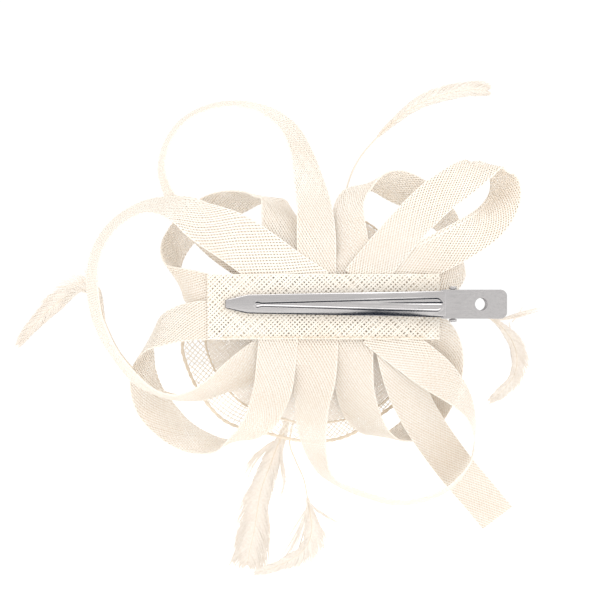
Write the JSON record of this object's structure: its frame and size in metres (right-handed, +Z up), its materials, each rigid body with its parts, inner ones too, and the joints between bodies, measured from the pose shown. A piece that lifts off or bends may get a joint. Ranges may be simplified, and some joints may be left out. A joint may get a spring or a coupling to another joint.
{
  "type": "fascinator headpiece",
  "caption": "Fascinator headpiece: curled loops and a tail of open-weave strip, two wavy discs and cut feathers, sewn behind a base strip on a sprung steel duckbill hair clip.",
  "frame": {"origin": "middle of the clip's grip, on the plane where the two jaws meet", "axes": "+X along the clip from the jaw tips to the levers, +Z up across the clip, +Y from the side that lies against the hair to the side that shows when worn; the moving jaw is on the -Y side"},
  "size_m": [0.1811, 0.0411, 0.1743],
  "materials": {
    "clip_steel": "nickel-plated spring steel, brushed along the clip",
    "pin_steel": "satin",
    "base_mesh": "coarse open weave",
    "strip_mesh": "open-weave fibre, ivory",
    "disc_mesh": "open-weave fibre, warm ivory",
    "thread": "tan cord",
    "glue": "matt",
    "feather": "soft ivory feather"
  },
  "bodies": {
    "headpiece": {"fixed_jaw": "clip_steel", "hinge_pin": "pin_steel", "torsion_spring": "pin_steel", "clip_glue": "glue", "base_strip": "base_mesh", "hem_stitching": "thread", "loop_top": "strip_mesh", "loop_left": "strip_mesh", "loop_back_left": "strip_mesh", "loop_lower_left": "strip_mesh", "loop_top_right": "strip_mesh", "loop_upper_right": "strip_mesh", "loop_bottom": "strip_mesh", "loop_lower_right": "strip_mesh", "tail_strip": "strip_mesh", "inner_disc": "disc_mesh", "inner_edge": "thread", "net_disc": "disc_mesh", "net_edge": "thread", "centre_knot": "strip_mesh", "feather_top_right": "feather", "feather_left": "feather", "feather_right": "feather", "feather_bottom_left": "feather", "feather_bottom_right": "feather"},
    "jaw": {"moving_jaw": "clip_steel"}
  },
  "joints": [
    {"name": "jaw_hinge", "type": "hinge", "parent": "headpiece", "child": "jaw", "pos_m": [0.0383, -0.00205, 0], "axis": [0, 0, 1], "range_deg": [0, 20], "stiffness_Nm_per_rad": 0.3, "springref_deg": -34.38, "deforming": ["torsion_spring"]}
  ]
}
